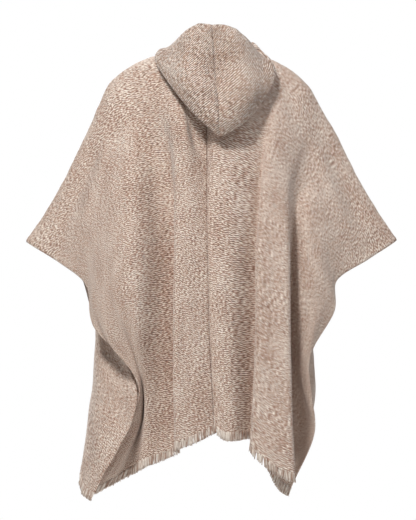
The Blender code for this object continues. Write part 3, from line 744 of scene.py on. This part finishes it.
# The hood: cells of its grid, and the sizes and shares that shape its sections.
hood = {
    "stationCells": 72,
    "sectionCells": (6, 6, 10, 10, 8, 8, 18, 12, 8),
    "dent": 0.034,
    "dentReach": 0.025,
    "weaveRadius": 0.17,
    "rippleHeight": 0.0012,
    "rippleLength": 0.03,
    "collarOut": 0.003,
    "collarTurnOut": 0.014,
    "collarTurnUp": 0.001,
    "foldRise": 0.9,
    "bellyShare": 0.55,
    "bellySwell": 0.35,
    "innerShare": 0.45,
    "rimIn": 0.6,
    "rimClear": 0.004,
    "rimDrop": 0.3,
    "seamDip": 0.0015,
    "seamWidth": 0.003,
}

# Creases of the hood, in the same form.
hoodCreases = (
    ("ledge", (-0.050, -0.086), (0.060, -0.082), 0.009, 0.004),
    ("lower dimple", (0.016, -0.104), (0.050, -0.122), 0.010, -0.003),
    ("left drape", (-0.080, 0.010), (-0.010, -0.130), 0.016, 0.002),
    ("right drape", (0.095, -0.010), (0.045, -0.110), 0.016, 0.002),
    ("rim fold", (-0.030, 0.056), (0.040, 0.058), 0.006, -0.004),
)


# Sections of the bag: up from the neck seam, down behind, round the fold, up and in.
def hoodPoints(stations, side, edge, along):
    knots = [row[1] for row in stations]
    numbers = [(*row[2:4], *row[4], *row[5:7], *row[7]) for row in stations]
    angle, rise, fx, fy, fz, gap, lean, tx, ty, tz = curveThrough(knots, numbers, along).T
    turn = np.radians(angle)
    lean = np.radians(lean)[:, None]
    away = np.stack([side * np.sin(turn), -np.cos(turn), 0 * turn], axis=1)
    up = np.array([0.0, 0.0, 1.0])
    into = up * np.cos(lean) - away * np.sin(lean)
    over = away * np.cos(lean) + up * np.sin(lean)
    fold = np.stack([fx, fy, fz], axis=1)
    top = np.stack([tx, ty, tz], axis=1)
    gap = gap[:, None]
    rise = rise[:, None]
    collar = edge + away * hood["collarOut"] + up * rise
    collarTurn = edge + away * hood["collarTurnOut"] + up * (rise + hood["collarTurnUp"])
    under = fold + into * gap * hood["foldRise"] - over * gap / 2
    outer = fold + into * gap * hood["foldRise"] + over * gap / 2
    dent = hood["dent"] * np.exp(-(((along + garment["neckBack"]) / hood["dentReach"]) ** 2))
    dent = dent[:, None]
    swell = gap * hood["bellySwell"] * np.cos(lean) ** 2
    belly = outer * (1 - hood["bellyShare"]) + top * hood["bellyShare"] + over * (swell - dent)
    inner = collarTurn * (1 - hood["innerShare"]) + under * hood["innerShare"]
    inner = inner - over * dent * 0.1
    rim = top - away * (gap * hood["rimIn"] + hood["rimClear"]) - up * gap * hood["rimDrop"]
    sections = np.stack([edge, collar, collarTurn, inner, under, fold, outer, belly, top, rim],
                        axis=1)
    cells = hood["sectionCells"]
    places = np.concatenate([np.linspace(n, n + 1, c, endpoint=False)
                             for n, c in enumerate(cells)] + [[len(cells)]])
    whole = np.arange(len(cells) + 1)
    points, reach = [], []
    for section in sections:
        step = np.linalg.norm(np.diff(section, axis=0), axis=1)
        reached = np.concatenate([[0], np.cumsum(step)])
        at = np.interp(places, whole, reached)
        points.append(curveThrough(reached, section, at))
        reach.append(at)
    return np.array(points), np.array(reach), places


def makeHoodHalf(name, node, stations, cloth, seed, material):
    side = cloth["side"]
    along = np.linspace(-garment["neckBack"], garment["neckFront"], hood["stationCells"] + 1)
    along = along[:-1]
    strip = clothPoints(cloth, np.array([0.0, 0.005, 0.010]), along)
    face = gridNormals(strip, side)[0]
    neckline = strip[0]
    outward = unit(side * np.cross(unit(np.gradient(neckline, axis=0)), face))
    edge = neckline + outward * garment["wall"] * 0.65
    edge += face * (garment["wall"] / 2 + garment["neckGap"])
    edge[0, 0] = neckline[0, 0]
    points, reach, places = hoodPoints(stations, side, edge, along)
    seamShift = side * garment["seamGap"] / 2 * np.ones(points.shape[1])
    seamShift[0] = 0
    points[0, :, 0] += seamShift
    normals = gridNormals(points, side)
    straightenEdge(normals, points)
    outerLayer = np.clip((places - 5.0) / 1.0, 0, 1) * np.clip((8.6 - places) / 0.6, 0, 1)
    moved = creases(points, hoodCreases) * outerLayer
    station = along[:, None] + garment["neckBack"]
    moved += ripple(reach, station, seed, hood["rippleLength"], hood["rippleHeight"]) * outerLayer
    moved *= np.clip(station / 0.004, 0.35, 1)
    moved -= hood["seamDip"] * np.exp(-(station / hood["seamWidth"]) ** 2)
    points = points + normals * moved[..., None]
    normals = gridNormals(points, side)
    normals[:, 0] = outward
    straightenEdge(normals, points)
    half = np.full(points.shape[:2], garment["wall"] / 2)
    facing = np.arctan2(points[..., 0], 0.02 - points[..., 1])
    uv = np.stack([facing * hood["weaveRadius"], points[..., 2]], axis=-1)
    piece = makeShell(name, points, normals, side, uv, half)
    piece.data.materials.append(material)
    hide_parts(node)
    print(name, len(piece.data.polygons) * 2, "triangles")
    return piece


hoodHalves = [makeHoodHalf("hoodHalfLeft", "hood_left", hoodLeft, leftCloth, 11, hoodTwillPaintedShade),
              makeHoodHalf("hoodHalfRight", "hood_right", hoodRight, rightCloth, 12, hoodTwillPaintedShade)]


# The yarn ends: how far apart, how thick, how many in depth, and how unevenly they hang.
fringe = {
    "pitch": 0.0040,
    "radius": 0.0016,
    "tipShare": 0.60,
    "sway": 0.0018,
    "cover": 0.005,
    "sides": 5,
    "steps": 5,
    "layers": 4,
    "scatter": 0.3,
    "margin": 0.05,
    "shortest": 0.86,
    "layerDraw": 0.4,
    "bowOut": 0.6,
    "thinnest": 0.75,
    "thickest": 1.15,
    "pale": "#F2EAE0",
    "rosy": "#A07C69",
}


# Yarn ends: each is a tapered tube that starts in the hem, a little above its edge, and falls
# in a slight bow.
def makeFringe(name, node, points, normals, last, seed, material):
    hem = points[:, last]
    down = unit(points[:, last] - points[:, -2 if last else 1])
    face = normals[:, last]
    reach = np.concatenate([[0], np.cumsum(np.linalg.norm(np.diff(hem, axis=0), axis=1))])
    rng = np.random.default_rng(seed)
    count = int(garment["panelWidth"] / fringe["pitch"]) * fringe["layers"]
    scatter, margin = fringe["scatter"], fringe["margin"]
    whole = np.linspace(0, len(hem) - 1.001, count) + rng.uniform(-scatter, scatter, count)
    whole = np.clip(whole, margin, len(hem) - 1 - margin)
    base = whole.astype(int)
    part = (whole - base)[:, None]

    def read(values):
        return values[base] * (1 - part) + values[base + 1] * part

    root, fall, out = read(hem), unit(read(down)), unit(read(face))
    side = unit(np.cross(fall, out))
    long = garment["fringeLength"] * rng.uniform(fringe["shortest"], 1.0, count)
    layer = rng.uniform(-1.0, 1.0, count)
    bend = rng.normal(0, 1, (count, 2)) * fringe["sway"]
    t = np.linspace(0, 1, fringe["steps"])[None, :, None]
    depth = layer[:, None, None] * garment["wall"] / 2 * (1 - t * fringe["layerDraw"])
    middle = (root[:, None] - fall[:, None] * fringe["cover"]
              + out[:, None] * depth
              + fall[:, None] * (long + fringe["cover"])[:, None, None] * t
              + side[:, None] * bend[:, None, :1] * t**2
              + out[:, None] * bend[:, None, 1:] * fringe["bowOut"] * t**2)
    radius = rng.uniform(fringe["thinnest"], fringe["thickest"], (count, 1, 1))
    radius = fringe["radius"] * radius
    radius = radius * (1 - (1 - fringe["tipShare"]) * t)
    turn = np.arange(fringe["sides"]) / fringe["sides"] * 2 * np.pi
    ring = (side[:, None, None] * np.cos(turn)[None, None, :, None]
            + out[:, None, None] * np.sin(turn)[None, None, :, None])
    tube = middle[:, :, None] + ring * radius[..., None]
    vertices = tube.reshape(-1, 3)
    per = fringe["steps"] * fringe["sides"]
    number = np.arange(per).reshape(fringe["steps"], fringe["sides"])
    after = np.roll(number, -1, axis=1)
    wall = np.stack([number[:-1], after[:-1], after[1:], number[1:]], axis=-1).reshape(-1, 4)
    start = np.arange(count)[:, None, None] * per
    quads = (wall[None] + start).reshape(-1, 4)
    caps = np.stack([number[0, ::-1], number[-1]])
    capFaces = (caps[None] + start).reshape(-1, fringe["sides"])
    faces = quads.tolist() + capFaces.tolist()
    tone = np.repeat(rng.uniform(0, 1, count), per)
    piece = addPiece(name, vertices, faces, tone=tone)
    volume = np.einsum("ij,ij->i", vertices[quads[:, 0]],
                       np.cross(vertices[quads[:, 1]], vertices[quads[:, 2]])).sum()
    if volume < 0:
        piece.data.flip_normals()
    piece.data.materials.append(material)
    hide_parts(node)
    return piece


# Singles yarn pulled from the hem: matt, each end a little paler or rosier.
def looseYarn():
    material = bpy.data.materials.new("loose wool yarn")
    material.use_nodes = True
    tree = material.node_tree
    shader = tree.nodes["Principled BSDF"]
    tone = addNode(tree, "Attribute", {"attribute_name": "tone"}).outputs["Fac"]
    ramp = addNode(tree, "ValToRGB", {}, {}, {"Fac": tone})
    stops = ramp.color_ramp.elements
    stops[0].color = linear(fringe["rosy"])
    stops[1].color = linear(fringe["pale"])
    tree.links.new(ramp.outputs["Color"], shader.inputs["Base Color"])
    shader.inputs["Roughness"].default_value = 0.95
    shader.inputs["Sheen Weight"].default_value = 0.3
    shader.inputs["Specular IOR Level"].default_value = 0.2
    return material


yarn = looseYarn()
for word, (piece, points, normals), seed in (("Left", left, 21), ("Right", right, 31)):
    side = word.lower()
    makeFringe("backFringe" + word, "fringe_back_" + side, points, normals, 0,
                              seed, yarn)
    makeFringe("frontFringe" + word, "fringe_front_" + side, points, normals, -1,
                              seed + 1, yarn)
print("fringes made")
